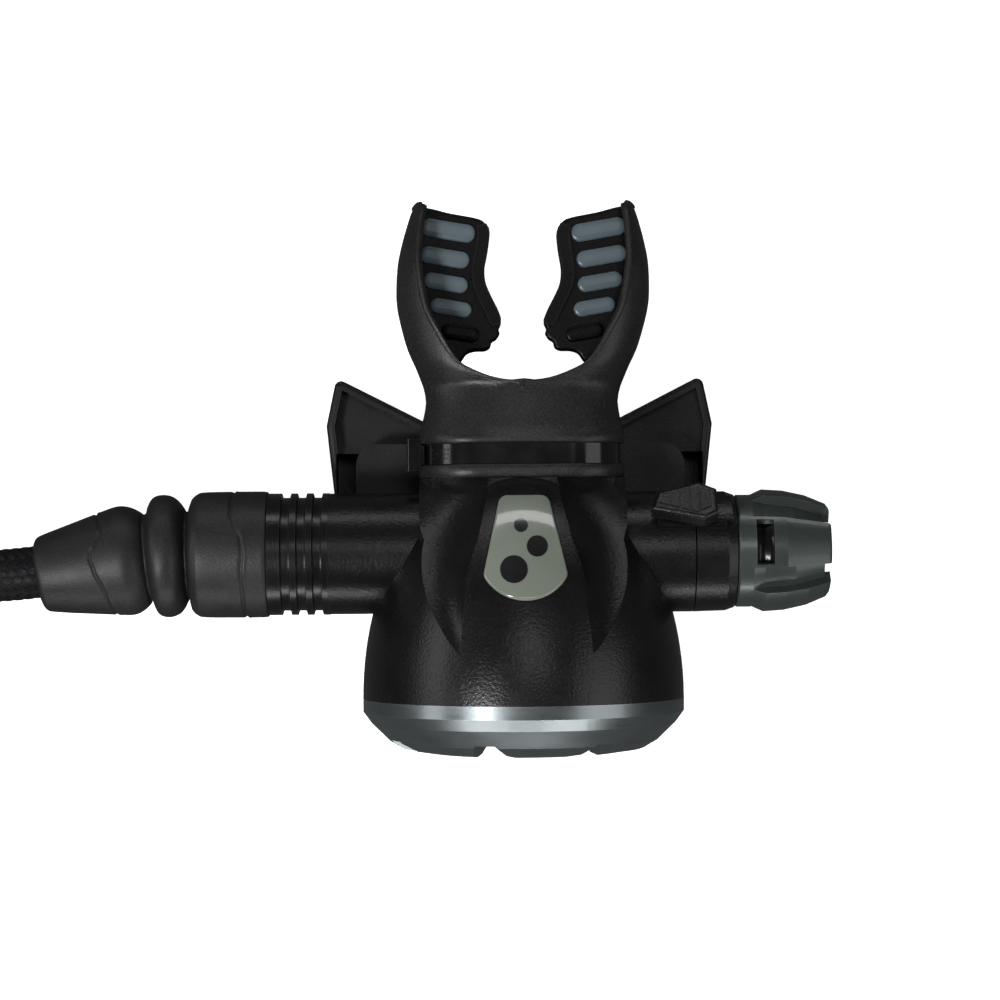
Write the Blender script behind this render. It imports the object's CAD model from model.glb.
"""A scuba second stage with its low-pressure hose, dressed and lit for a studio picture."""

import math

import bmesh
import bpy
from mathutils import Matrix, Vector


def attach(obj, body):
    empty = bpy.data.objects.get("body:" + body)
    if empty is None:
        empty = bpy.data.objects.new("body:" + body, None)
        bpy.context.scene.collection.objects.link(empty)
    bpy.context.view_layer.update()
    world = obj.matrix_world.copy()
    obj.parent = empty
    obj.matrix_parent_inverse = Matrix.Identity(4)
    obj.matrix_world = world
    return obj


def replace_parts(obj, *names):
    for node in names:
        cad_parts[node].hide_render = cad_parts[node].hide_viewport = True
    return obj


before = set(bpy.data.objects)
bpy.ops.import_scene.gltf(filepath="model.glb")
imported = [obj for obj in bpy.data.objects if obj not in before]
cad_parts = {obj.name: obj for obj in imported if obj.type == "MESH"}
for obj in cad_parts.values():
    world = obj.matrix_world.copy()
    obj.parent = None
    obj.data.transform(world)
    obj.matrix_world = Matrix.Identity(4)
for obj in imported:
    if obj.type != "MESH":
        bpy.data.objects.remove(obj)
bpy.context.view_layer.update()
axis_height = 0.0366  # the valve's axis above the rest plane

# ---------------------------------------------------------------- studio
# A pale table, a small key light from the hose's side, a broad panel on each side, a strip light
# past the mouthpiece, another before the cover, and a weak one overhead. The camera looks down.
camera = bpy.data.objects.new("camera", bpy.data.cameras.new("camera"))
camera.location = (-0.015162, 0.00456, axis_height + 0.643)
camera.rotation_euler = (0.0, 0.0, math.radians(-0.45))
camera.data.sensor_width = 36.0
camera.data.lens = 18.0 / math.tan(math.radians(10.08))
camera.data.shift_x = 0.0442
camera.data.shift_y = 0.033
bpy.context.scene.collection.objects.link(camera)
bpy.context.scene.camera = camera
bpy.context.scene.view_settings.view_transform = "Standard"


def soft_light(name, place, aim, size, power):
    """A rectangular softbox that faces a point."""
    lamp = bpy.data.lights.new(name, "AREA")
    lamp.shape = "RECTANGLE"
    lamp.size, lamp.size_y = size
    lamp.energy = power
    light = bpy.data.objects.new(name, lamp)
    light.location = place
    light.rotation_euler = (Vector(aim) - Vector(place)).to_track_quat("-Z", "Y").to_euler()
    bpy.context.scene.collection.objects.link(light)
    return light


soft_light("key_light", (-0.44, -0.26, 0.82), (0.0, 0.0, 0.03), (0.15, 0.20), 5.2)
soft_light("left_panel", (-0.95, 0.15, 0.45), (0.0, 0.0, 0.03), (0.7, 0.3), 1.5)
soft_light("right_panel", (0.85, -0.25, 0.66), (0.0, 0.0, 0.03), (1.0, 0.7), 2.8)
soft_light("far_strip", (0.0, 0.95, 0.34), (0.0, 0.0, 0.03), (1.3, 0.14), 1.8)
soft_light("near_strip", (0.0, -0.95, 0.20), (0.0, 0.0, 0.03), (1.3, 0.16), 3.4)
soft_light("overhead", (0.1, 0.25, 1.1), (0.0, 0.0, 0.03), (0.4, 0.2), 0.7)

sky = bpy.data.worlds.new("studio")
sky.use_nodes = True
sky.node_tree.nodes["Background"].inputs["Color"].default_value = (0.95, 0.97, 1.0, 1.0)
sky.node_tree.nodes["Background"].inputs["Strength"].default_value = 0.07
bpy.context.scene.world = sky

table_mesh = bpy.data.meshes.new("table")
table_mesh.from_pydata(
    [(-4, -4, -0.0004), (4, -4, -0.0004), (4, 4, -0.0004), (-4, 4, -0.0004)], [], [(0, 1, 2, 3)]
)
table = bpy.data.objects.new("table", table_mesh)
bpy.context.scene.collection.objects.link(table)
table_paint = bpy.data.materials.new("table_paint")
table_paint.use_nodes = True
table_paint.node_tree.nodes["Principled BSDF"].inputs["Base Color"].default_value = (0.93, 0.93, 0.93, 1.0)
table_paint.node_tree.nodes["Principled BSDF"].inputs["Roughness"].default_value = 0.9
table_paint.node_tree.nodes["Principled BSDF"].inputs["Emission Color"].default_value = (1.0, 1.0, 1.0, 1.0)
table_paint.node_tree.nodes["Principled BSDF"].inputs["Emission Strength"].default_value = 0.9
table_mesh.materials.append(table_paint)
table.visible_glossy = False
table.visible_diffuse = False

# ---------------------------------------------------------------- hose
# Twelve-millimetre low-pressure hose: a rubber liner under a black braid of two sets of flat yarn
# bundles that pass over two and under two. It droops from the boot to the table and lies there in
# a round coil of one turn and a fifth.
hose_radius = 0.006
hose_route = [
    (-0.0825, 0.0, 0.0),
    (-0.097, -0.0012, 0.0),
    (-0.112, -0.004, 0.0),
    (-0.130, -0.0049, -0.0026),
    (-0.148, -0.0065, -0.009),
    (-0.166, -0.0093, -0.0176),
    (-0.184, -0.0128, -0.0258),
]
coil_middle = Vector((-0.204, 0.038, 0.0))
coil_start, coil_growth, coil_sweep = 0.054, 0.012 / 360, 430  # radius, growth a degree, degrees
coil_points = 30  # over the whole sweep


def coil_point(radius, degrees, height=0.0):
    """A point of the coil, turning clockwise from where the hose comes in."""
    turn = math.radians(degrees)
    return coil_middle + Vector((-radius * math.sin(turn), -radius * math.cos(turn), hose_radius + height))


hose_points = [Vector(p) + Vector((0, 0, axis_height)) for p in hose_route]
hose_points.append(coil_point(coil_start, 0, 0.0006))
for k in range(1, coil_points + 1):
    degrees = coil_sweep * k / coil_points
    hose_points.append(coil_point(coil_start + coil_growth * degrees, degrees))
hose_points.append(coil_point(0.0687, 447, 0.0003))
hose_points.append(coil_point(0.0705, 463, 0.0009))
hose_points.append(coil_point(0.0802, 478, 0.0019))

hose_curve = bpy.data.curves.new("hose_line", "CURVE")
hose_curve.dimensions = "3D"
hose_curve.resolution_u = 12
hose_spline = hose_curve.splines.new("NURBS")
hose_spline.points.add(len(hose_points) - 1)
for point, place in zip(hose_spline.points, hose_points):
    point.co = (*place, 1.0)
hose_spline.order_u = 3
hose_spline.use_endpoint_u = True
hose_guide = bpy.data.objects.new("hose_line", hose_curve)
bpy.context.scene.collection.objects.link(hose_guide)


def baked_mesh(obj, name):
    """The object's evaluated shape as a plain mesh."""
    bpy.context.view_layer.update()
    graph = bpy.context.evaluated_depsgraph_get()
    mesh = bpy.data.meshes.new_from_object(obj.evaluated_get(graph))
    mesh.name = name
    return mesh


def placed(name, mesh, body, slot, *materials):
    """A new piece at the origin, riding on a body, with its finishes."""
    obj = bpy.data.objects.new(name, mesh)
    bpy.context.scene.collection.objects.link(obj)
    for material in materials:
        mesh.materials.append(material)
    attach(obj, body)
    return obj


def add(tree, kind, values=None, **settings):
    """A node with its settings, and with its inputs given as values or as sockets to join."""
    node = tree.nodes.new(kind)
    for key, value in settings.items():
        setattr(node, key, value)
    for key, value in (values or {}).items():
        if isinstance(value, bpy.types.NodeSocket):
            tree.links.new(value, node.inputs[key])
        else:
            node.inputs[key].default_value = value
    return node


def new_group(name, kind, takes, gives):
    """An empty node group with named inputs and outputs: each taken is (label, type, value)."""
    tree = bpy.data.node_groups.new(name, kind)
    for label, socket, value in takes:
        made = tree.interface.new_socket(label, in_out="INPUT", socket_type=socket)
        if value is not None:
            made.default_value = value
    for label, socket in gives:
        tree.interface.new_socket(label, in_out="OUTPUT", socket_type=socket)
    return tree, tree.nodes.new("NodeGroupInput").outputs, tree.nodes.new("NodeGroupOutput").inputs


def sums(tree, operation, a, b=0.0):
    """One step of arithmetic."""
    return add(tree, "ShaderNodeMath", {0: a, 1: b}, operation=operation).outputs[0]


def vectors(tree, operation, a, b):
    """One step of vector arithmetic; b is a number where the step is a scaling."""
    slot = "Scale" if operation == "SCALE" else 1
    return add(tree, "ShaderNodeVectorMath", {0: a, slot: b}, operation=operation).outputs[0]


def run_geometry(mesh, name, tree, inputs):
    """Puts a mesh through a Geometry Nodes tree and returns the plain mesh that comes out."""
    host = bpy.data.objects.new(name, mesh)
    bpy.context.scene.collection.objects.link(host)
    modifier = host.modifiers.new(name, "NODES")
    modifier.node_group = tree
    labels = {s.name: s.identifier for s in tree.interface.items_tree if s.in_out == "INPUT"}
    for label, value in inputs.items():
        modifier[labels[label]] = value
    made = baked_mesh(host, name)
    bpy.data.objects.remove(host)
    return made


braid_tree, given, result = new_group(
    "hose_braid",
    "GeometryNodeTree",
    [
        ("Geometry", "NodeSocketGeometry", None),
        ("Radius", "NodeSocketFloat", 0.0057),
        ("Lift", "NodeSocketFloat", 0.00016),
        ("Bundles", "NodeSocketInt", 16),
        ("Pitch", "NodeSocketFloat", 0.0377),
        ("Bundle width", "NodeSocketFloat", 0.0015),
        ("Bundle crown", "NodeSocketFloat", 0.0004),
        ("Step", "NodeSocketFloat", 0.0006),
        ("Liner radius", "NodeSocketFloat", 0.0054),
        ("Yarn", "NodeSocketMaterial", None),
        ("Liner", "NodeSocketMaterial", None),
    ],
    [("Geometry", "NodeSocketGeometry")],
)
line = add(braid_tree, "GeometryNodeMeshToCurve", {"Mesh": given["Geometry"]})
line = add(
    braid_tree, "GeometryNodeResampleCurve", {"Curve": line.outputs[0], "Length": given["Step"]},
    mode="LENGTH"
)
strands = add(
    braid_tree,
    "GeometryNodeDuplicateElements",
    {"Geometry": line.outputs[0], "Amount": sums(braid_tree, "MULTIPLY", given["Bundles"], 2.0)},
    domain="SPLINE",
)
along = add(braid_tree, "GeometryNodeSplineParameter").outputs["Length"]
index = strands.outputs["Duplicate Index"]
backward = sums(braid_tree, "GREATER_THAN", index, sums(braid_tree, "SUBTRACT", given["Bundles"], 0.5))
hand = sums(braid_tree, "SUBTRACT", 1.0, sums(braid_tree, "MULTIPLY", backward, 2.0))
turns = sums(braid_tree, "MULTIPLY", hand, sums(braid_tree, "DIVIDE", along, given["Pitch"]))
turns = sums(braid_tree, "ADD", turns, sums(braid_tree, "DIVIDE", index, given["Bundles"]))
angle = sums(braid_tree, "MULTIPLY", turns, math.tau)
crossings = sums(braid_tree, "DIVIDE", sums(braid_tree, "MULTIPLY", along, given["Bundles"]), given["Pitch"])
crossings = sums(braid_tree, "MULTIPLY", sums(braid_tree, "MULTIPLY", crossings, 2.0), hand)
wave = sums(braid_tree, "ADD", sums(braid_tree, "MULTIPLY", index, 2.0), crossings)
wave = sums(
    braid_tree, "COSINE",
    sums(braid_tree, "MULTIPLY", sums(braid_tree, "SUBTRACT", wave, 0.5), math.pi / 2)
)
lift = sums(braid_tree, "MULTIPLY", sums(braid_tree, "MULTIPLY", wave, hand), given["Lift"])
reach = sums(braid_tree, "ADD", given["Radius"], lift)
normal = add(braid_tree, "GeometryNodeInputNormal").outputs[0]
tangent = add(braid_tree, "GeometryNodeInputTangent").outputs[0]
side = vectors(braid_tree, "CROSS_PRODUCT", tangent, normal)
outward = vectors(
    braid_tree,
    "ADD",
    vectors(braid_tree, "SCALE", normal, sums(braid_tree, "COSINE", angle)),
    vectors(braid_tree, "SCALE", side, sums(braid_tree, "SINE", angle)),
)
marked = add(
    braid_tree,
    "GeometryNodeStoreNamedAttribute",
    {"Geometry": strands.outputs["Geometry"], "Name": "outward", "Value": outward},
    data_type="FLOAT_VECTOR",
    domain="POINT",
)
moved = add(
    braid_tree,
    "GeometryNodeSetPosition",
    {"Geometry": marked.outputs[0], "Offset": vectors(braid_tree, "SCALE", outward, reach)},
)
kept = add(braid_tree, "GeometryNodeInputNamedAttribute", {"Name": "outward"}, data_type="FLOAT_VECTOR")
faced = add(
    braid_tree,
    "GeometryNodeSetCurveNormal",
    {"Curve": moved.outputs[0], "Normal": kept.outputs[0]},
    mode="FREE",
)
half_width = sums(braid_tree, "MULTIPLY", given["Bundle width"], 0.5)
profile = add(
    braid_tree,
    "GeometryNodeCurveQuadraticBezier",
    {
        "Resolution": 4,
        "Start": add(braid_tree, "ShaderNodeCombineXYZ", {"Y": half_width}).outputs[0],
        "Middle": add(braid_tree, "ShaderNodeCombineXYZ", {"X": given["Bundle crown"]}).outputs[0],
        "End": add(
            braid_tree, "ShaderNodeCombineXYZ", {"Y": sums(braid_tree, "MULTIPLY", half_width, -1.0)}
        ).outputs[0],
    },
)
across = add(
    braid_tree,
    "GeometryNodeStoreNamedAttribute",
    {
        "Geometry": profile.outputs[0],
        "Name": "across",
        "Value": add(braid_tree, "GeometryNodeSplineParameter").outputs["Factor"],
    },
    data_type="FLOAT",
    domain="POINT",
)
bundles = add(
    braid_tree, "GeometryNodeCurveToMesh", {"Curve": faced.outputs[0], "Profile Curve": across.outputs[0]}
)
bundles = add(
    braid_tree, "GeometryNodeSetMaterial", {"Geometry": bundles.outputs[0], "Material": given["Yarn"]}
)
ring = add(
    braid_tree, "GeometryNodeCurvePrimitiveCircle", {"Resolution": 20, "Radius": given["Liner radius"]}
)
coarse = add(
    braid_tree, "GeometryNodeResampleCurve", {"Curve": line.outputs[0], "Length": 0.003}, mode="LENGTH"
)
liner = add(
    braid_tree,
    "GeometryNodeCurveToMesh",
    {"Curve": coarse.outputs[0], "Profile Curve": ring.outputs[0], "Fill Caps": True},
)
liner = add(
    braid_tree, "GeometryNodeSetMaterial", {"Geometry": liner.outputs[0], "Material": given["Liner"]}
)
joined = add(braid_tree, "GeometryNodeJoinGeometry")
braid_tree.links.new(bundles.outputs[0], joined.inputs[0])
braid_tree.links.new(liner.outputs[0], joined.inputs[0])
smooth = add(braid_tree, "GeometryNodeSetShadeSmooth", {"Geometry": joined.outputs[0]})
real = add(braid_tree, "GeometryNodeRealizeInstances", {"Geometry": smooth.outputs[0]})
braid_tree.links.new(real.outputs[0], result["Geometry"])


def new_material(name, **sockets):
    """A material with its Principled BSDF's plain sockets set; returns it, its tree and the shader."""
    material = bpy.data.materials.new(name)
    material.use_nodes = True
    shader = material.node_tree.nodes["Principled BSDF"]
    for key, value in sockets.items():
        shader.inputs[key.replace("_", " ")].default_value = value
    return material, material.node_tree, shader


grain_group, given, result = new_group(
    "moulded_grain",
    "ShaderNodeTree",
    [
        ("Scale", "NodeSocketFloat", 2500.0),
        ("Patch scale", "NodeSocketFloat", 60.0),
        ("Stretch", "NodeSocketVector", (1.0, 1.0, 1.0)),
    ],
    [("Height", "NodeSocketFloat"), ("Patch", "NodeSocketFloat"), ("Speck", "NodeSocketFloat")],
)
where = add(grain_group, "ShaderNodeTexCoord").outputs["Object"]
where = vectors(grain_group, "MULTIPLY", where, given["Stretch"])
fine = add(
    grain_group, "ShaderNodeTexNoise", {
        "Vector": where, "Scale": given["Scale"], "Detail": 2.0, "Roughness": 0.6
    }
)
broad = add(
    grain_group, "ShaderNodeTexNoise", {"Vector": where, "Scale": given["Patch scale"], "Detail": 4.0}
)
tiny = add(
    grain_group, "ShaderNodeTexNoise", {"Vector": where, "Scale": 3400.0, "Detail": 1.0}
).outputs["Fac"]
tiny = add(grain_group, "ShaderNodeMapRange", {"Value": tiny, "From Min": 0.50, "From Max": 0.66}).outputs[0]
grain_group.links.new(fine.outputs["Fac"], result["Height"])
grain_group.links.new(broad.outputs["Fac"], result["Patch"])
grain_group.links.new(tiny, result["Speck"])


def grain(tree, scale, patch_scale=60.0, stretch=(1.0, 1.0, 1.0)):
    """The grain group placed in a material; returns its height, its slow patches and its fine specks."""
    node = add(tree, "ShaderNodeGroup", {}, node_tree=grain_group)
    node.inputs["Scale"].default_value = scale
    node.inputs["Patch scale"].default_value = patch_scale
    node.inputs["Stretch"].default_value = stretch
    return node.outputs["Height"], node.outputs["Patch"], node.outputs["Speck"]


def ranged(tree, value, low, high, start=0.3, end=0.7):
    """A mask spread between two values."""
    return add(
        tree, "ShaderNodeMapRange", {
            "Value": value, "From Min": start, "From Max": end, "To Min": low, "To Max": high
        }
    ).outputs[0]


def blended(tree, mask, first, second):
    """Two colours, mixed by a mask."""
    node = add(tree, "ShaderNodeMix", {}, data_type="RGBA")
    tree.links.new(mask, node.inputs[0])
    for socket, colour in ((node.inputs[6], first), (node.inputs[7], second)):
        if isinstance(colour, bpy.types.NodeSocket):
            tree.links.new(colour, socket)
        else:
            socket.default_value = (*colour, 1.0)
    return node.outputs[2]


def bumped(tree, shader, height, depth, under=None):
    """Relief of a real depth in metres, over any relief that is already there."""
    values = {"Height": height, "Distance": depth, "Strength": 1.0}
    if under is not None:
        values["Normal"] = under
    node = add(tree, "ShaderNodeBump", values)
    tree.links.new(node.outputs[0], shader.inputs["Normal"])
    return node.outputs[0]


yarn, tree, shader = new_material("braid_yarn", Specular_IOR_Level=0.2)
height, patch, speck = grain(tree, 900.0, 90.0)
across = add(tree, "ShaderNodeAttribute", {}, attribute_name="across").outputs["Fac"]
threads = sums(tree, "SINE", sums(tree, "MULTIPLY", across, 7 * math.pi))
threads = sums(tree, "ADD", sums(tree, "ABSOLUTE", threads), sums(tree, "MULTIPLY", height, 0.5))
tree.links.new(
    blended(tree, ranged(tree, threads, 0.0, 1.0, 0.1, 1.2), (0.001, 0.001, 0.0012), (0.009, 0.0095, 0.011)),
    shader.inputs["Base Color"]
)
tree.links.new(ranged(tree, patch, 0.28, 0.5), shader.inputs["Roughness"])
bumped(tree, shader, threads, 0.00005)

liner, tree, shader = new_material("hose_liner", Specular_IOR_Level=0.2)
height, patch, speck = grain(tree, 1200.0)
tree.links.new(
    blended(tree, patch, (0.003, 0.003, 0.003), (0.008, 0.008, 0.008)), shader.inputs["Base Color"]
)
tree.links.new(ranged(tree, patch, 0.55, 0.8), shader.inputs["Roughness"])
bumped(tree, shader, height, 0.00003)

hose_line = baked_mesh(hose_guide, "hose_line_points")
hose_path = [v.co.copy() for v in hose_line.vertices]
hose_mesh = run_geometry(hose_line, "hose", braid_tree, {"Yarn": yarn, "Liner": liner})
hose = placed("hose", hose_mesh, "regulator", "braid")
bpy.data.objects.remove(hose_guide)
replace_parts(hose, "hose_lead", "hose_coil", "hose_end")
hose_length = sum((b - a).length for a, b in zip(hose_path, hose_path[1:]))
print("hose length", round(hose_length, 4), "tris", sum(len(p.vertices) - 2 for p in hose_mesh.polygons))

# ---------------------------------------------------------------- far end of the hose
# The first stage's end: a crimped chromed sleeve, a hexagon, an O-ring in its groove and a straight
# 3/8-inch thread. The thread is cut on the visible piece; the hexagon has turned chamfers.
def moulded(
    name, dark, light, smoothest, roughest, grain_size, depth, wear=0.0, edge=0.0004, stretch=(1, 1, 1),
    dust=0.0, **sockets
):
    """A moulded or turned finish: drifting colour and gloss, fine grain, specks, and paler handled edges."""
    material, tree, shader = new_material(name, **sockets)
    height, patch, speck = grain(tree, 1.0 / grain_size, 110.0, stretch)
    colour = blended(tree, ranged(tree, patch, 0.0, 1.0), dark, light)
    if dust > 0.0:
        colour = blended(tree, sums(tree, "MULTIPLY", speck, dust), colour, (0.10, 0.10, 0.10))
    gloss = ranged(tree, patch, smoothest, roughest)
    if wear > 0.0:
        worn = add(tree, "ShaderNodeGroup", {}, node_tree=wear_group)
        worn.inputs["Radius"].default_value = edge
        worn.inputs["Amount"].default_value = wear
        paler = tuple(min(1.0, 2.2 * c + 0.02) for c in light)
        colour = blended(tree, worn.outputs["Mask"], colour, paler)
    tree.links.new(colour, shader.inputs["Base Color"])
    tree.links.new(gloss, shader.inputs["Roughness"])
    bumped(tree, shader, height, depth)
    return material


wear_group, given, result = new_group(
    "edge_wear",
    "ShaderNodeTree",
    [("Radius", "NodeSocketFloat", 0.0004), ("Amount", "NodeSocketFloat", 0.5)],
    [("Mask", "NodeSocketFloat")],
)
rounded = add(wear_group, "ShaderNodeBevel", {"Radius": given["Radius"]}, samples=4).outputs[0]
facing = add(wear_group, "ShaderNodeNewGeometry").outputs["Normal"]
agreement = add(
    wear_group, "ShaderNodeVectorMath", {0: rounded, 1: facing}, operation="DOT_PRODUCT"
).outputs["Value"]
rubbed = ranged(wear_group, sums(wear_group, "SUBTRACT", 1.0, agreement), 0.0, 1.0, 0.03, 0.2)
patchy = add(
    wear_group,
    "ShaderNodeTexNoise",
    {"Vector": add(wear_group, "ShaderNodeTexCoord").outputs["Object"], "Scale": 260.0, "Detail": 3.0},
).outputs["Fac"]
rubbed = sums(wear_group, "MULTIPLY", rubbed, ranged(wear_group, patchy, 0.35, 1.0))
wear_group.links.new(sums(wear_group, "MULTIPLY", rubbed, given["Amount"]), result["Mask"])


def dress(material, *names):
    """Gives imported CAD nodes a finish."""
    for name in names:
        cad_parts[name].data.materials.clear()
        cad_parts[name].data.materials.append(material)


def skin(name, rings, close_start=False, close_end=False):
    """A mesh through rings of equal count, its ends left open or closed with a fan."""
    made = bmesh.new()
    rows = [[made.verts.new(p) for p in ring] for ring in rings]
    for row, after in zip(rows, rows[1:]):
        for k in range(len(row)):
            corners = (row[k - 1], row[k], after[k], after[k - 1])
            made.faces.new(corners)
    for row, wanted in ((rows[0], close_start), (rows[-1], close_end)):
        if wanted:
            middle = made.verts.new(sum((v.co for v in row), Vector()) / len(row))
            for k in range(len(row)):
                made.faces.new((row[k - 1], row[k], middle))
    bmesh.ops.recalc_face_normals(made, faces=made.faces)
    mesh = bpy.data.meshes.new(name)
    made.to_mesh(mesh)
    made.free()
    mesh.polygons.foreach_set("use_smooth", [True] * len(mesh.polygons))
    return mesh


chrome = moulded(
    "chromed_brass", (0.60, 0.61, 0.62), (0.74, 0.75, 0.76), 0.10, 0.26, 0.0004, 0.000004,
    wear=0.3, Metallic=1.0
)
steel = moulded(
    "stainless_steel", (0.42, 0.42, 0.43), (0.58, 0.58, 0.60), 0.22, 0.42, 0.0003, 0.000006, wear=0.3,
    stretch=(1, 8, 8), Metallic=1.0,
)
brass = moulded(
    "machined_brass", (0.52, 0.36, 0.14), (0.68, 0.50, 0.22), 0.2, 0.38, 0.0003, 0.000006, Metallic=1.0
)
seal = moulded("seal_rubber", (0.006, 0.006, 0.006), (0.014, 0.014, 0.014), 0.32, 0.5, 0.0003, 0.000008)
fitting_start = coil_point(0.0802, 478, 0.0019)
fitting_axis = (fitting_start - coil_point(0.0705, 463, 0.0009)).normalized()
fitting_side = fitting_axis.cross(Vector((0, 0, 1))).normalized()
fitting_up = fitting_side.cross(fitting_axis)


def on_fitting(radius, turn, reach):
    """A point at a radius and an angle, at a distance past the hose's cut end."""
    around = fitting_side * math.cos(turn) + fitting_up * math.sin(turn)
    return fitting_start + fitting_axis * reach + around * radius


fitting_around = 72
fitting_rings = []


def fitting_ring(reach, radius):
    """One ring of the fitting; radius is a number or a function of the angle."""
    angles = [math.tau * k / fitting_around for k in range(fitting_around)]
    size = radius if callable(radius) else lambda turn: radius
    fitting_rings.append([on_fitting(size(a), a, reach) for a in angles])


def hexagon(across_flats, limit):
    """The radius of a hexagon at an angle, turned down to a limit at its corners."""
    def size(turn):
        off = (turn + math.pi / 6) % (math.pi / 3) - math.pi / 6
        return min(across_flats / 2 / math.cos(off), limit)
    return size


for reach, radius in ((0.01705, 0.0016), (0.01705, 0.0060)):
    fitting_ring(reach, radius)
for reach, limit in (
    (0.0171, 0.0068), (0.0176, 0.0073), (0.0182, 0.0079), (0.0228, 0.0079), (0.0233, 0.0073),
    (0.0236, 0.0067)
):
    fitting_ring(reach, hexagon(0.01368, limit))
for reach, radius in ((0.02362, 0.0052), (0.0237, 0.0037), (0.0252, 0.0036)):
    fitting_ring(reach, radius)
thread_pitch = 0.00106
for k in range(106):
    reach = 0.02535 + k * 0.000085
    fade = min(1.0, k / 8.0, (105 - k) / 8.0)

    def ridge(turn, reach=reach, fade=fade):
        step = (reach / thread_pitch - turn / math.tau) % 1.0
        return 0.00412 + 0.00062 * fade * (1.0 - abs(2.0 * step - 1.0))

    fitting_ring(reach, ridge)
for reach, radius in ((0.0343, 0.0040), (0.0344, 0.0036), (0.0344, 0.0017), (0.0300, 0.0016)):
    fitting_ring(reach, radius)
fitting = placed(
    "first_stage_fitting", skin("first_stage_fitting", fitting_rings, True, True), "regulator",
    "chromed_brass", chrome
)
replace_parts(fitting, "end_fitting")
dress(chrome, "end_ferrule", "hose_ferrule", "swivel_nut", "hose_tail")
dress(liner, "hose_tip", "hose_root")
dress(seal, "end_o_ring", "tail_o_ring", "orifice_o_ring", "adjuster_o_rings")

# ---------------------------------------------------------------- boot
# A matt rubber boot over the nut and the crimped sleeve: a cuff, one bellows fold and a tail that
# tapers to the hose. A wavy parting groove runs round the cuff and another round the tail.
rubber = moulded(
    "boot_rubber", (0.008, 0.008, 0.0085), (0.013, 0.013, 0.0135), 0.44, 0.56, 0.0005, 0.00006, wear=0.25,
    dust=0.12
)
# x and y of the middle, tilt in degrees, radius: from the nut to the tail's tip
boot_line = [
    (-57.9, 0.0, 0.0, 9.5), (-57.9, 0.0, 0.0, 13.7), (-58.3, 0.0, 0.0, 14.3), (-60.0, 0.0, 0.0, 14.4),
    (-66.0, 0.0, 0.0, 14.4), (-72.4, 0.0, 0.0, 14.3), (-74.0, 0.0, 0.0, 13.9), (-75.2, 0.0, 0.0, 12.9),
    (-75.7, 0.0, 0.5, 11.4), (-76.1, 0.0, 1.0, 10.1), (-76.5, 0.0, 1.5, 10.0), (-76.9, -0.02, 2.0, 10.9),
    (-77.8, -0.05, 2.4, 12.3), (-79.0, -0.1, 2.8, 13.4), (-80.6, -0.15, 3.2, 13.95), (
        -82.4, -0.25, 3.5, 13.9
    ),
    (-83.7, -0.32, 3.5, 13.2), (-84.5, -0.4, 4.0, 11.8), (-84.9, -0.45, 4.5, 10.4), (-85.5, -0.5, 5.5, 9.9),
    (-86.2, -0.6, 6.5, 10.7), (-87.8, -0.75, 7.5, 11.8), (-89.6, -1.0, 8.5, 12.45), (-91.4, -1.3, 9.0, 12.5),
    (-94.0, -1.7, 9.0, 12.0), (-99.0, -2.5, 9.0, 10.95), (-104.0, -3.3, 9.0, 9.9), (-108.0, -3.9, 9.0, 9.0),
    (-109.5, -4.15, 9.0, 8.5), (-110.2, -4.26, 9.0, 7.6), (-110.3, -4.28, 9.0, 6.6), (
        -109.5, -4.15, 9.0, 6.15
    ),
]


def smooth_line(points, step):
    """A Catmull-Rom line through rows of numbers, in steps of about one size."""
    line = []
    for k in range(len(points) - 1):
        a, b, c, d = (points[max(0, min(len(points) - 1, k + m))] for m in (-1, 0, 1, 2))
        reach = math.dist((b[0], b[-1]), (c[0], c[-1]))
        count = max(1, round(reach / step))
        for n in range(count):
            t = n / count
            line.append(
                tuple(
                    0.5 * (
                        2 * q + (r - p) * t + (2 * p - 5 * q + 4 * r - s) * t * t
                        + (3 * q - p - 3 * r + s) * t**3
                    )
                    for p, q, r, s in zip(a, b, c, d)
                )
            )
    return line + [points[-1]]


def around_value(keys, degrees):
    """A value that follows keys of (degrees, value) all the way round, eased between them."""
    keys = sorted(keys)
    keys = [(keys[-1][0] - 360, keys[-1][1])] + keys + [(keys[0][0] + 360, keys[0][1])]
    degrees = (degrees + 180) % 360 - 180
    for (a, low), (b, high) in zip(keys, keys[1:]):
        if a <= degrees <= b:
            t = (degrees - a) / max(b - a, 1e-9)
            return low + (high - low) * t * t * (3 - 2 * t)
    return keys[0][1]


cuff_groove = [
    (90, -65.7), (60, -66.0), (38, -65.9), (29, -65.1), (14, -63.5), (2, -63.1), (-14, -63.4), (-40, -63.2),
    (-90, -62.9), (-120, -63.0), (-150, -65.6), (-179, -65.8), (150, -63.4), (120, -64.0),
]
tail_groove = [
    (90, -95.5), (50, -94.6), (35, -94.3), (26, -95.2), (16, -97.0), (8, -97.3), (-4, -96.8), (-35, -95.3),
    (-90, -94.4), (-120, -94.3), (-150, -96.6), (-179, -96.9), (150, -94.4), (120, -95.0),
]
boot_around = 150
boot_rings = []
for x, y, tilt, radius in smooth_line(boot_line, 0.24):
    ring = []
    for k in range(boot_around):
        degrees = 360.0 * k / boot_around
        r = radius
        for keys in (cuff_groove, tail_groove):
            gap = x - around_value(keys, degrees)
            if radius > 9.0 and abs(gap) < 1.6:
                r -= 0.42 * math.exp(-((gap / 0.30) ** 2)) - 0.10 * math.exp(-(((gap - 0.62) / 0.30) ** 2))
        up, out = r * math.cos(math.radians(degrees)), r * math.sin(math.radians(degrees))
        lean = math.radians(tilt)
        place = Vector((x - out * math.sin(lean), y + out * math.cos(lean), up)) * 0.001
        ring.append(place + Vector((0, 0, axis_height)))
    boot_rings.append(ring)
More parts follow.
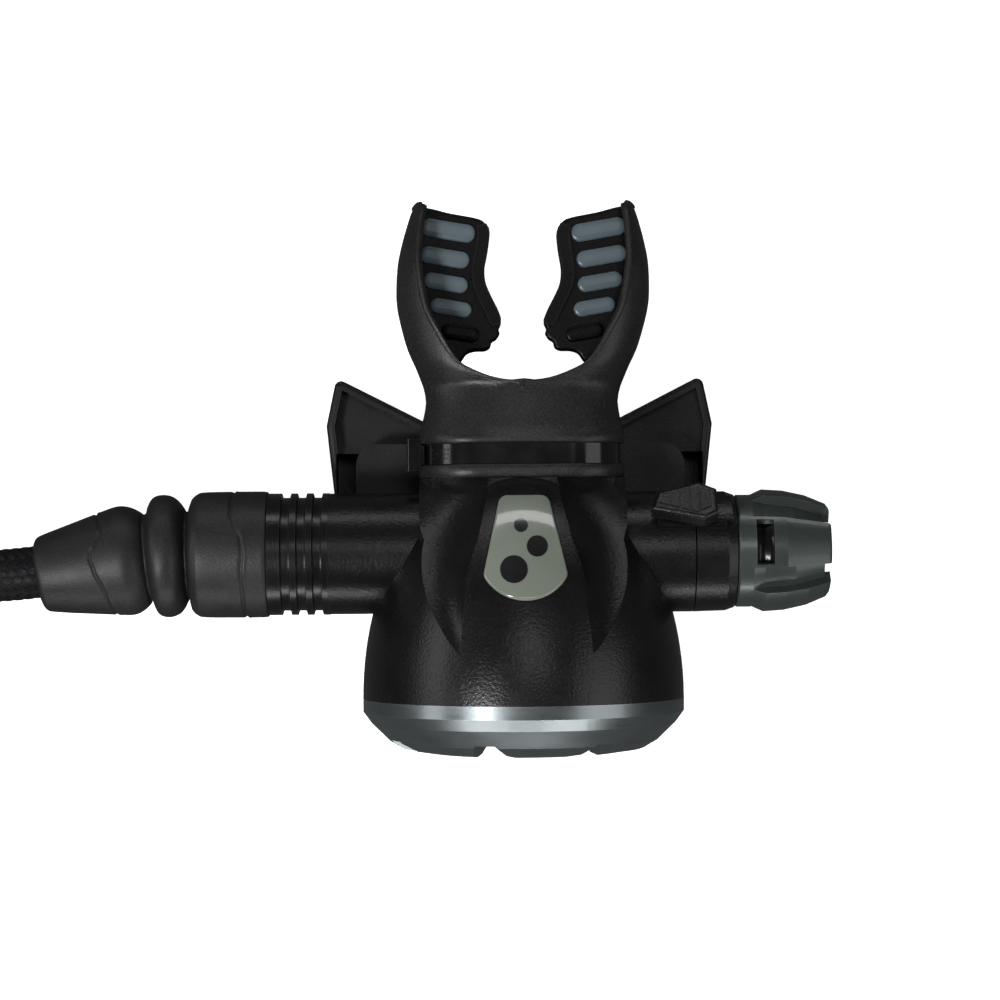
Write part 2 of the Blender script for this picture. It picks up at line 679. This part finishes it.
boot = placed("hose_boot_rubber", skin("hose_boot_rubber", boot_rings), "regulator", "boot_rubber", rubber)
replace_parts(boot, "hose_boot")

# ---------------------------------------------------------------- case
# The case is one moulding of glass-filled nylon with a fine spark-eroded grain; its ridges are
# polished by handling. The badge is a resin dome with three plain bubbles printed on it.
case_nylon = moulded(
    "case_nylon", (0.0038, 0.0036, 0.004), (0.0065, 0.006, 0.0066), 0.24, 0.31, 0.0006, 0.00008,
    wear=0.35, edge=0.0004, dust=0.05, Specular_IOR_Level=0.42
)
dress(case_nylon, "case")
badge_resin = moulded(
    "badge_resin", (0.225, 0.25, 0.205), (0.26, 0.285, 0.24), 0.10, 0.2, 0.0008, 0.000003,
    Coat_Weight=1.0, Coat_Roughness=0.03,
)
badge_ink = moulded(
    "badge_ink", (0.008, 0.008, 0.009), (0.016, 0.016, 0.017), 0.12, 0.22, 0.0008, 0.000003,
    Coat_Weight=1.0
)
dress(badge_resin, "badge_lens")
dress(badge_ink, "badge_emblem")

# ---------------------------------------------------------------- cover and purge
# The cover ring is a turned metal ring with a satin gunmetal coat; the purge button is black rubber
# over nylon and shows in the ring's mouth.
gunmetal = moulded(
    "gunmetal_coat", (0.235, 0.265, 0.27), (0.27, 0.30, 0.31), 0.27, 0.32, 0.0005, 0.00001, wear=0.5,
    stretch=(1, 4, 1), Metallic=0.9, Coat_Weight=0.3,
)
purge_rubber = moulded(
    "purge_rubber", (0.010, 0.010, 0.011), (0.018, 0.018, 0.019), 0.4, 0.55, 0.0003, 0.00003, wear=0.3
)
inner_nylon = moulded("inner_nylon", (0.012, 0.012, 0.013), (0.02, 0.02, 0.021), 0.38, 0.55, 0.0003, 0.00002)
dress(gunmetal, "cover_ring")
dress(purge_rubber, "purge_button")
dress(inner_nylon, "front_grille", "clamp_ring", "venturi_vane")
dress(steel, "purge_spring", "poppet_spring", "diaphragm_plate", "demand_lever", "lever_pin", "knob_pin")
clear_silicone = moulded(
    "clear_silicone", (0.62, 0.64, 0.62), (0.74, 0.76, 0.74), 0.3, 0.45, 0.0004, 0.00001,
    Transmission_Weight=0.35,
)
dress(clear_silicone, "diaphragm", "exhaust_valve")

# ---------------------------------------------------------------- valve
# The valve's tube is chromed brass, its orifice plain brass; the poppet and the spring pad are
# white acetal, with a black seat.
acetal = moulded("poppet_acetal", (0.66, 0.66, 0.63), (0.76, 0.76, 0.73), 0.25, 0.4, 0.0004, 0.000008)
dress(chrome, "valve_body", "adjust_screw")
dress(brass, "orifice")
dress(acetal, "poppet", "spring_pad")
dress(seal, "poppet_seat")

# ---------------------------------------------------------------- inlet nut
# A gloss black ribbed ring that holds the valve in the case.
nut_nylon = moulded(
    "nut_nylon", (0.004, 0.004, 0.0045), (0.007, 0.007, 0.008), 0.20, 0.27, 0.0005, 0.00003, wear=0.8,
    edge=0.0005
)
gloss_black = moulded(
    "gloss_black", (0.004, 0.004, 0.0045), (0.008, 0.008, 0.009), 0.10, 0.20, 0.0005, 0.000006, wear=0.5
)
dress(nut_nylon, "inlet_nut")
dress(gloss_black, "knob_core")

# ---------------------------------------------------------------- airflow lever
# The ring turns on the case; its thumb lever carries a pebbled pad.
dress(case_nylon, "venturi_ring", "thumb_lever")
pebble, tree, shader = new_material("thumb_pebble")
where = add(tree, "ShaderNodeTexCoord").outputs["Object"]
cells = add(
    tree, "ShaderNodeTexVoronoi", {"Vector": where, "Scale": 2300.0}, feature="SMOOTH_F1"
).outputs["Distance"]
height, patch, speck = grain(tree, 3000.0)
tree.links.new(
    blended(tree, ranged(tree, cells, 1.0, 0.0, 0.1, 0.6), (0.010, 0.010, 0.011), (0.030, 0.030, 0.031)),
    shader.inputs["Base Color"]
)
tree.links.new(ranged(tree, patch, 0.38, 0.52), shader.inputs["Roughness"])
under = bumped(tree, shader, height, 0.00001)
bumped(tree, shader, ranged(tree, cells, 1.0, 0.0, 0.1, 0.7), 0.00006, under=under)
dress(pebble, "thumb_pad")

# ---------------------------------------------------------------- effort knob
# A coated knob with five grips, satin green-grey, round a glossy black drum that shows in its window.
knob_coat = moulded(
    "knob_coat", (0.070, 0.085, 0.079), (0.082, 0.098, 0.091), 0.27, 0.33, 0.0004, 0.00002,
    wear=0.6, edge=0.0004,
    Metallic=0.5, Coat_Weight=0.25,
)
dress(knob_coat, "effort_knob")

# ---------------------------------------------------------------- exhaust tee
# A soft moulding that carries the bubbles past the diver's face, over a flap valve.
tee_rubber = moulded(
    "tee_rubber", (0.0035, 0.0035, 0.0038), (0.006, 0.006, 0.0065), 0.34, 0.46, 0.0005, 0.00004, wear=0.4,
    edge=0.0006, dust=0.04, Specular_IOR_Level=0.35
)
dress(tee_rubber, "exhaust_tee")

# ---------------------------------------------------------------- mouthpiece
# One silicone moulding: a neck that stretches over the case's spigot, and a lip guard whose thin
# bowed wall stands between lips and gums. Its walls thin from the neck to a rounded edge.
silicone = moulded(
    "mouth_silicone", (0.0075, 0.0072, 0.007), (0.0120, 0.0115, 0.011), 0.38, 0.48, 0.0006, 0.00007,
    wear=0.7, edge=0.0008, dust=0.22, Specular_IOR_Level=0.5
)


askew = 0.0157  # sideways for each millimetre along


def leaned(x, y):
    """The mouthpiece sits a degree askew on the spigot, towards the knob."""
    return x + askew * max(0.0, y - 25.0)


def table_value(rows, at, column=1, power=1):
    """A value read from rows of (place, values...), on a Catmull-Rom line through the values' power."""
    keys = [(row[0], row[column] ** power) for row in rows]
    at = max(keys[0][0], min(keys[-1][0], at))
    for k in range(len(keys) - 1):
        if at <= keys[k + 1][0]:
            a, b, c, d = (keys[max(0, min(len(keys) - 1, k + m))] for m in (-1, 0, 1, 2))
            span = c[0] - b[0]
            t = (at - b[0]) / span
            low = (c[1] - a[1]) / max(c[0] - a[0], 1e-9) * span
            high = (d[1] - b[1]) / max(d[0] - b[0], 1e-9) * span
            value = (
                b[1] * (2 * t**3 - 3 * t**2 + 1) + low * (t**3 - 2 * t**2 + t)
                + c[1] * (3 * t**2 - 2 * t**3) + high * (t**3 - t**2)
            )
            return max(0.0, value) ** (1 / power)
    return keys[-1][1] ** (1 / power)


# by distance along the mouth: half width at mid height, half width at the edge, height of the edge
guard_rows = [
    (24.7, 23.4, 0.0, 15.1), (28.0, 23.2, 0.0, 14.9), (31.0, 22.4, 0.0, 14.3), (34.5, 21.9, 0.0, 13.6),
    (37.0, 22.3, 0.0, 13.1), (38.6, 22.8, 0.1, 12.8), (39.3, 23.1, 5.8, 12.75), (40.8, 23.7, 10.2, 12.7),
    (42.9, 24.6, 14.2, 12.6), (45.9, 26.0, 16.6, 12.5), (49.3, 27.1, 18.6, 12.3), (55.0, 28.5, 21.6, 12.0),
    (58.9, 28.9, 22.6, 11.7), (66.0, 28.6, 23.7, 10.8), (71.0, 27.6, 23.6, 9.9), (75.0, 26.5, 23.3, 8.6),
    (77.5, 25.7, 22.9, 7.2), (79.0, 25.0, 22.8, 5.0), (79.9, 24.3, 23.3, 2.4),
]


def eased(low, high, at):
    """Nought below low, one above high, and a smooth step between them."""
    t = max(0.0, min(1.0, (at - low) / (high - low)))
    return t * t * (3 - 2 * t)


def guard_section(y, share):
    """The bowed wall at a distance along the mouth: share runs from its edge to mid height."""
    wide, high = table_value(guard_rows, y, 1), table_value(guard_rows, y, 3)
    inner = table_value(guard_rows, y, 2, power=2)
    lean = math.radians(38) * eased(41.0, 60.0, y)
    turn = lean + (math.pi / 2 - lean) * share
    square = 0.78 + 0.22 * eased(27.0, 42.0, y)
    across = (math.sin(turn) ** square - math.sin(lean) ** square) / (1 - math.sin(lean) ** square)
    up = (max(0.0, math.cos(turn)) / math.cos(lean)) ** square
    return inner + (wide - inner) * across, high * up


edge_rows = [guard_section(y, 0.0) + (y,) for y in [38.6 + 40.4 * (k / 160) ** 2 for k in range(161)]]
edge_reach = [0.0]
for a, b in zip(edge_rows, edge_rows[1:]):
    edge_reach.append(edge_reach[-1] + math.dist(a, b))
corner_share = 0.86  # of the rays that end on the long edge; the rest end on the arm's blunt tip


def ray_end(v):
    """Where ray v of the wall ends: distance along the mouth, and share of the section."""
    if v >= corner_share:
        t = (v - corner_share) / (1 - corner_share)
        return 79.0 + 0.9 * t, t
    reach = edge_reach[-1] * v / corner_share
    k = next(n for n in range(len(edge_reach) - 1) if edge_reach[n + 1] >= reach)
    t = (reach - edge_reach[k]) / (edge_reach[k + 1] - edge_reach[k])
    return edge_rows[k][2] * (1 - t) + edge_rows[k + 1][2] * t, 0.0


def oval_point(half_width, half_height, corner, v):
    """A point of a rounded rectangle's quarter, from the top's middle to the side's."""
    flat, arc, side = half_width - corner, corner * math.pi / 2, half_height - corner
    reach = v * (flat + arc + side)
    if reach <= flat:
        return reach, half_height
    if reach <= flat + arc:
        turn = (reach - flat) / corner
        return flat + corner * math.sin(turn), half_height - corner + corner * math.cos(turn)
    return half_width, half_height - corner - (reach - flat - arc)


def wall_point(v, t, inset):
    """A point of the wall on ray v: inset is the depth under its outer face."""
    end_y, end_share = ray_end(v)
    start_y = 25.2
    y = start_y + (end_y - start_y) * t
    share = v + (end_share - v) * t**2.4
    x, z = guard_section(y, share)
    ahead = guard_section(y, min(1.0, share + 0.02))
    behind = guard_section(y, max(0.0, share - 0.02))
    slope = Vector((ahead[0] - behind[0], ahead[1] - behind[1]))
    blend = eased(25.2, 29.0, y)
    ox, oz = oval_point(23.3, 15.0, 13.0, v)
    x, z = x * blend + ox * (1 - blend), z * blend + oz * (1 - blend)
    if slope.length > 1e-6:
        slope.normalize()
        x, z = x + slope.y * inset, z - slope.x * inset
    return Vector((max(0.0, x), y, max(0.0, z)))


def bead(v, t):
    """How far the outer face stands out at a place: a raised bead runs round the edge."""
    left = (wall_point(v, 1.0, 0.0) - wall_point(v, t, 0.0)).length
    return 0.45 * (1 - eased(1.5, 1.9, left))


quarter = 34
wall_steps = 46
mouth_rows = []  # each row holds one quarter, from the top's middle to the side's


def oval_row(half_width, half_height, corner, y):
    """Adds a row that is a rounded rectangle."""
    row = []
    for k in range(quarter + 1):
        x, z = oval_point(half_width, half_height, corner, k / quarter)
        row.append(Vector((x, y, z)))
    mouth_rows.append(row)


for half_width, half_height, corner, y in (
    (19.55, 11.55, 10.0, 17.0), (22.9, 14.6, 12.6, 16.95), (23.3, 15.0, 13.0, 17.3), (23.3, 15.0, 13.0, 19.6),
    (23.0, 14.7, 12.7, 19.95), (21.4, 13.1, 11.1, 20.0), (21.3, 13.0, 11.0, 20.4), (21.3, 13.0, 11.0, 24.2),
    (21.4, 13.1, 11.1, 24.6), (22.9, 14.6, 12.6, 24.65), (23.3, 15.0, 13.0, 25.0),
):
    oval_row(half_width, half_height, corner, y)
for n in range(1, wall_steps + 1):
    t = 1 - (1 - n / wall_steps) ** 1.6
    mouth_rows.append([wall_point(k / quarter, t, -bead(k / quarter, t)) for k in range(quarter + 1)])
for n in range(1, 4):  # the rounded edge
    turn = math.pi * n / 4
    row = []
    for k in range(quarter + 1):
        v = k / quarter
        outer, inner = wall_point(v, 1.0, -0.45), wall_point(v, 1.0, 1.25)
        onward = (wall_point(v, 1.0, 0.6) - wall_point(v, 0.96, 0.6)).normalized()
        middle = (outer + inner) / 2
        row.append(middle + (outer - middle) * math.cos(turn) + onward * 0.6 * math.sin(turn))
    mouth_rows.append(row)
for n in range(wall_steps + 1):  # the inner face, back to the airway
    t = 1 - (n / wall_steps) ** 0.85
    row = []
    for k in range(quarter + 1):
        v = k / quarter
        end_y = ray_end(v)[0]
        y = 34.5 + (end_y - 34.5) * t
        place = wall_point(v, (y - 25.2) / (end_y - 25.2), 1.25)
        web = 1 - eased(35.0, min(45.0, end_y), y)
        ax, az = oval_point(17.0, 9.5, 8.0, v)
        row.append(Vector((place.x + (ax - place.x) * web, y, place.z + (az - place.z) * web)))
    mouth_rows.append(row)
for half_width, half_height, corner, y in (
    (17.0, 9.5, 8.0, 33.0), (17.0, 9.5, 8.0, 30.7), (17.6, 9.9, 8.4, 30.5), (19.5, 11.5, 10.0, 30.45),
    (19.55, 11.55, 10.0, 29.0), (19.55, 11.55, 10.0, 17.0),
):
    oval_row(half_width, half_height, corner, y)
mouth_rings = []
for row in mouth_rows:
    ring = list(row)
    ring += [Vector((p.x, p.y, -p.z)) for p in reversed(row[:-1])]
    ring += [Vector((-p.x, p.y, -p.z)) for p in row[1:]]
    ring += [Vector((-p.x, p.y, p.z)) for p in reversed(row[1:-1])]
    ring = [Vector((leaned(p.x, p.y), p.y, p.z)) * 0.001 for p in ring]
    mouth_rings.append([p + Vector((0, 0, axis_height)) for p in ring])
guard_mesh = skin("lip_guard", mouth_rings)
guard = placed("lip_guard", guard_mesh, "regulator", "black_silicone", silicone)
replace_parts(guard, "mouthpiece")

# ---------------------------------------------------------------- bite tabs
# Two flat tabs stand out of the guard's wall for the teeth to hold. Each has a raised lip along its
# inner edge and five raised pads on both faces: four of blue-grey silicone and a black one.
tab_silicone = moulded(
    "tab_silicone", (0.0008, 0.0008, 0.001), (0.0016, 0.0016, 0.002), 0.30, 0.42, 0.0005, 0.00005,
    wear=0.5, edge=0.0005, dust=0.03, Specular_IOR_Level=0.16
)
pad_silicone = moulded(
    "pad_silicone", (0.098, 0.136, 0.156), (0.112, 0.152, 0.174), 0.26, 0.38, 0.0004, 0.00002, wear=0.35,
    edge=0.0006
)
tab_edge = [
    (23.6, 78.9), (16.5, 77.5), (10.9, 76.4), (8.9, 75.4), (8.1, 73.4), (8.6, 70.0), (9.3, 65.5), (9.4, 62.6),
    (8.5, 59.8), (6.9, 56.6), (5.3, 53.5), (4.9, 52.2), (5.4, 50.9), (5.2, 49.9), (6.0, 48.6), (7.0, 47.9),
    (7.4, 46.7), (8.6, 46.0), (11.0, 45.9), (12.8, 45.2), (14.2, 43.4), (17.0, 41.9), (21.0, 42.6), (
        24.0, 46.5
    ),
    (26.2, 52.0), (27.2, 58.0), (27.2, 64.0), (26.2, 70.5), (24.9, 75.5),
]


def closed_line(points, steps):
    """A closed Catmull-Rom loop through points, with some steps between each two."""
    loop = []
    for k in range(len(points)):
        p, q, r, s = (points[(k + m) % len(points)] for m in (-1, 0, 1, 2))
        for n in range(steps):
            t = n / steps
            loop.append(
                Vector(
                    0.5 * (
                        2 * b + (c - a) * t + (2 * a - 5 * b + 4 * c - d) * t * t
                        + (3 * b - a - 3 * c + d) * t**3
                    )
                    for a, b, c, d in zip(p, q, r, s)
                )
            )
    return loop


def pulled_in(loop, inset):
    """A counter-clockwise loop moved inwards."""
    moved = []
    for k, here in enumerate(loop):
        along = (loop[(k + 1) % len(loop)] - loop[k - 1]).normalized()
        moved.append(here + Vector((-along.y, along.x)) * inset)
    return moved


def slab(made, loop, levels):
    """A closed rounded slab from a loop: levels are heights with their insets, from one face to the other."""
    rows = []
    for z, inset in levels:
        places = [Vector((leaned(p.x, p.y), p.y, z)) * 0.001 for p in pulled_in(loop, inset)]
        rows.append([made.verts.new(p + Vector((0, 0, axis_height))) for p in places])
    for row, after in zip(rows, rows[1:]):
        for k in range(len(row)):
            made.faces.new((row[k - 1], row[k], after[k], after[k - 1]))
    made.faces.new(rows[0])
    made.faces.new(rows[-1])


def slot_loop(x, y, length, width, tilt):
    """A slot's outline, turned in the plane."""
    loop = []
    reach = (length - width) / 2
    for k in range(28):
        turn = math.tau * (k + 0.5) / 28
        px = math.copysign(reach, math.cos(turn)) + width / 2 * math.cos(turn)
        loop.append(Vector((px, width / 2 * math.sin(turn))))
    spin = Matrix.Rotation(math.radians(tilt), 2)
    return [spin @ p + Vector((x, y)) for p in loop]


def finished(made, name):
    """A bmesh as a mesh with outward faces, its sides smooth and its end faces flat."""
    bmesh.ops.recalc_face_normals(made, faces=made.faces)
    mesh = bpy.data.meshes.new(name)
    made.to_mesh(mesh)
    made.free()
    mesh.polygons.foreach_set("use_smooth", [len(p.vertices) == 4 for p in mesh.polygons])
    return mesh


def mirrored(loop):
    """The same loop on the other side, still counter-clockwise."""
    return [Vector((-p.x, p.y)) for p in reversed(loop)]


tab_loop = closed_line(list(reversed(tab_edge)), 5)
if sum(a.x * b.y - b.x * a.y for a, b in zip(tab_loop, tab_loop[1:])) < 0:
    tab_loop.reverse()
lip_line = [
    (9.4, 74.2), (9.1, 72.6), (9.5, 69.0), (10.2, 64.8), (9.9, 61.2), (8.6, 58.0), (6.9, 54.6),
    (6.1, 52.4)
]
lip_line = [Vector((x, y)) for x, _, y in smooth_line([(x, 0.0, y) for x, y in lip_line], 0.8)]
lip_loop = []
for hand in (1, -1):
    for k in range(len(lip_line)):
        n = k if hand > 0 else len(lip_line) - 1 - k
        along = (lip_line[min(n + 1, len(lip_line) - 1)] - lip_line[max(n - 1, 0)]).normalized()
        lip_loop.append(lip_line[n] + Vector((along.y, -along.x)) * 0.85 * hand)
if sum(a.x * b.y - b.x * a.y for a, b in zip(lip_loop, lip_loop[1:])) < 0:
    lip_loop.reverse()
tabs = bmesh.new()
for loop in (tab_loop, mirrored(tab_loop)):
    slab(tabs, loop, [(-1.5, 0.7), (-1.3, 0.2), (-0.8, 0.0), (0.8, 0.0), (1.3, 0.2), (1.5, 0.7)])
for loop in (lip_loop, mirrored(lip_loop)):
    slab(
        tabs, loop,
        [(-2.9, 0.6), (-2.75, 0.3), (-2.4, 0.08), (-1.8, 0.0), (1.8, 0.0), (2.4, 0.08), (2.75, 0.3), (2.9, 0.6)]
    )
tabs = placed("bite_tabs", finished(tabs, "bite_tabs"), "regulator", "black_silicone", tab_silicone)
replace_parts(tabs, "mouthpiece")

grey_rows = [
    (17.15, 73.5, 12.7, 4.2), (17.9, 67.4, 11.6, 3.9), (17.6, 61.6, 10.3, 3.7), (16.4, 55.9, 9.6, 3.5)
]
black_rows = [(14.2, 50.1, 8.8, 3.5)]


def tooth_pads(name, rows, material, slot, node):
    """Raised pads with rounded edges on both faces of both tabs."""
    made = bmesh.new()
    for x, y, length, width in rows:
        for loop in (slot_loop(x, y, length, width, 9.5), mirrored(slot_loop(x, y, length, width, 9.5))):
            for face in (1, -1):
                levels = [(1.35, 0.0), (1.95, 0.0), (2.2, 0.12), (2.36, 0.35), (2.42, 0.7), (2.5, 1.3)]
                slab(made, loop, [(z * face, inset) for z, inset in levels])
    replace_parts(placed(name, finished(made, name), "regulator", slot, material), node)


tooth_pads("grey_tooth_pads", grey_rows, pad_silicone, "grey_pads", "bite_pads_grey")
tooth_pads("black_tooth_pads", black_rows, tab_silicone, "black_silicone", "bite_pads_black")

# ---------------------------------------------------------------- cable tie
# A gloss nylon tie holds the mouthpiece on the spigot. Its square head sits on the left, and small
# moulded dots stand on the band beside it.
dress(gloss_black, "cable_tie")
dot_tree, given, result = new_group(
    "moulded_dots",
    "GeometryNodeTree",
    [
        ("Geometry", "NodeSocketGeometry", None),
        ("Dot radius", "NodeSocketFloat", 0.00022),
        ("Spread", "NodeSocketFloat", 0.12),
        ("Seed", "NodeSocketInt", 4),
        ("Material", "NodeSocketMaterial", None),
    ],
    [("Geometry", "NodeSocketGeometry")],
)
dot = add(dot_tree, "GeometryNodeMeshIcoSphere", {"Radius": given["Dot radius"], "Subdivisions": 2})
sizes = add(
    dot_tree,
    "FunctionNodeRandomValue",
    {
        2: sums(dot_tree, "SUBTRACT", 1.0, given["Spread"]),
        3: sums(dot_tree, "ADD", 1.0, given["Spread"]), "Seed": given["Seed"]
    },
    data_type="FLOAT",
)
dots = add(
    dot_tree,
    "GeometryNodeInstanceOnPoints",
    {"Points": given["Geometry"], "Instance": dot.outputs[0], "Scale": sizes.outputs[1]},
)
dots = add(dot_tree, "GeometryNodeRealizeInstances", {"Geometry": dots.outputs[0]})
dots = add(dot_tree, "GeometryNodeSetShadeSmooth", {"Geometry": dots.outputs[0]})
dots = add(dot_tree, "GeometryNodeSetMaterial", {"Geometry": dots.outputs[0], "Material": given["Material"]})
dot_tree.links.new(dots.outputs[0], result["Geometry"])
band_corner = Vector((-10.3, 0.0, 2.0))  # the middle of the band's upper left corner
dot_places = []
for column in range(6):
    for row in range(3):
        turn = math.radians(-54.0 + 4.4 * column)
        place = band_corner + Vector((math.sin(turn), 0.0, math.cos(turn))) * 12.22
        dot_places.append((place.x * 0.001, 0.0213 + 0.001 * row, place.z * 0.001 + axis_height))
dot_points = bpy.data.meshes.new("dot_points")
dot_points.from_pydata(dot_places, [], [])
tie_dots = run_geometry(dot_points, "tie_dots", dot_tree, {"Material": gloss_black})
placed("tie_dots", tie_dots, "regulator", "gloss_black")
